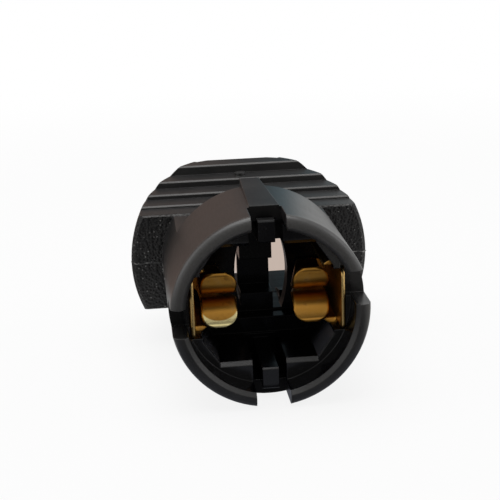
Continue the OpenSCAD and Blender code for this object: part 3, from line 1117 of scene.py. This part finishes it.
@dataclass(frozen=True)
class Studio:
    """Pale floor, white background, soft lamps, and cards for the room in the reflections. Millimetres."""

    floor_z: float
    reach: float = 4000.0
    floor_colour: Colour = (0.88, 0.88, 0.88)
    centre_y: float = 18.0
    bleach: Span = (60.0, 260.0)
    near_share: float = 0.86
    fill: float = 0.32
    # Painted pale brown shadow on the floor behind the socket's windows.
    shade_colour: Colour = (0.50, 0.385, 0.315)
    shade_spot: Tuple[float, float] = (5.7, 66.5)
    shade_half: Tuple[float, float] = (7.2, 12.8)
    shade_fade: Span = (0.9, 1.45)
    card_gap: float = 0.2
    leaf_card_gap: float = 0.3

    def lamps(self) -> List[Softbox]:
        """Lists the lamps."""
        return [
            Softbox("overhead", (-20, 40, 260), width=260, height=260, radiance=2.6),
            Softbox("left", (-230, 40, 120), width=110, height=150, radiance=1.2),
            Softbox("right", (230, 20, 120), width=110, height=150, radiance=1.4),
        ]

    def upright_cards(self) -> List[Card]:
        """Lists the upright cards: one in front, and one behind that goes from warm to cool."""
        front = (
            (-10.0, Tint.DARK),
            (2.0, Tint.EVEN),
            (78.0, Tint.EVEN),
            (90.0, Tint.BRIGHT),
            (108.0, Tint.BRIGHT),
            (120.0, Tint.EVEN),
        )
        back = ((-6.0, Tint.WARM), (4.0, Tint.DUSK), (13.0, Tint.COOL), (22.0, Tint.PALE))
        stand, low = Stand.UPRIGHT, self.floor_z
        return [
            Card("front_card", stand, -100.0, (-120.0, 120.0), (low, 260.0), front, Along.Z),
            Card("back_card", stand, 55.0, (-90.0, 60.0), (low, 90.0), back),
        ]

    def lying_cards(self) -> List[Card]:
        """Lists the cards just above the floor: in front of the mouth, further ahead, and at both sides."""
        apron = ((-20.0, Tint.DARK), (-11.0, Tint.SLATE))
        fore = ((2.0, Tint.BRIGHT), (6.5, Tint.DARK), (11.0, Tint.DARK), (15.0, Tint.SOFT))
        mid = ((9.0, Tint.DARK), (15.0, Tint.GLOW))
        soft, glow = ((0.0, Tint.SOFT),), ((0.0, Tint.GLOW),)
        stand, near, upper = Stand.LYING, self.floor_z + self.card_gap, self.floor_z + self.leaf_card_gap
        return [
            Card("leaf_apron", stand, upper, (-7.0, 11.0), (-38.0, -20.0), soft),
            Card("apron", stand, near, (-25.0, 25.0), (-45.0, 8.0), apron, Along.Y),
            Card("fore_apron", stand, near, (-90.0, 90.0), (-100.0, -58.0), fore),
            Card("mid_apron", stand, near, (-90.0, 90.0), (-58.0, -45.0), mid),
            Card("left_apron", stand, near, (-120.0, -25.0), (-45.0, 45.0), soft),
            Card("right_apron", stand, near, (25.0, 120.0), (-45.0, 45.0), glow),
        ]

    def floor(self) -> bpy.types.Object:
        """Makes the floor: lit near the socket, white further off, with a painted pale brown shadow behind the
        windows.
        """
        material, g = new_material("pale_floor")
        x, y, _ = g.axes(g.place_mm())
        distance = g.hypot(x, y - self.centre_y)
        seen = g.rays(Ray.CAMERA, Ray.GLOSSY, Ray.TRANSMISSION)
        share = seen * (self.near_share + (1 - self.near_share) * distance.fade(*self.bleach))
        # Painted shadow: pale brown, fading out past the ellipse's edge.
        pairs = zip((x, y), self.shade_spot, self.shade_half)
        across, along = ((place - spot) / half for place, spot, half in pairs)
        shade = g.mix(g.hypot(across, along).fade(*self.shade_fade), self.shade_colour, WHITE)
        lit = g.node("ShaderNodeBsdfDiffuse", None, {"Color": socket_colour(self.floor_colour)})
        g.surface(g.between(share, lit.outputs[0], g.glow(shade)))
        reach = (-self.reach, self.reach)
        return StageSheet("floor", Stand.LYING, self.floor_z, reach, reach).make(material)

    def background(self) -> None:
        """Makes a world that is white where it is seen and a soft grey as light."""
        world = bpy.data.worlds.new("studio")
        world.use_nodes = True
        g = Graph(world.node_tree)
        soft, white = (
            g.node("ShaderNodeBackground", None, {"Color": socket_colour(WHITE), "Strength": strength})
            for strength in (self.fill, 1.0)
        )
        seen = g.rays(Ray.CAMERA, Ray.GLOSSY, Ray.TRANSMISSION)
        g.surface(g.between(seen, soft.outputs[0], white.outputs[0]), "ShaderNodeOutputWorld")
        bpy.context.scene.world = world

    def build(self) -> None:
        """Makes the floor, the background, the lamps and the cards, with plain colour management."""
        bpy.context.scene.view_settings.view_transform = "Standard"
        self.floor()
        self.background()
        for fitting in (*self.lamps(), *self.upright_cards(), *self.lying_cards()):
            fitting.build()


def main() -> None:
    """Builds the camera, the studio and each part of the socket in order."""
    logging.basicConfig(level=logging.INFO, format="%(name)s %(message)s")
    PhotoCamera().build()
    Studio(floor_z=float(CAD_BOX[0][2]) * PER_M).build()
    housing = SocketHousing()
    housing.dress()
    housing.build()
    brass = SpringBrass().material()
    for side in Side:
        SpringContact(side, LOWER_LEAF_HIGHLIGHT[side]).build(brass)


if __name__ == "__main__":
    main()
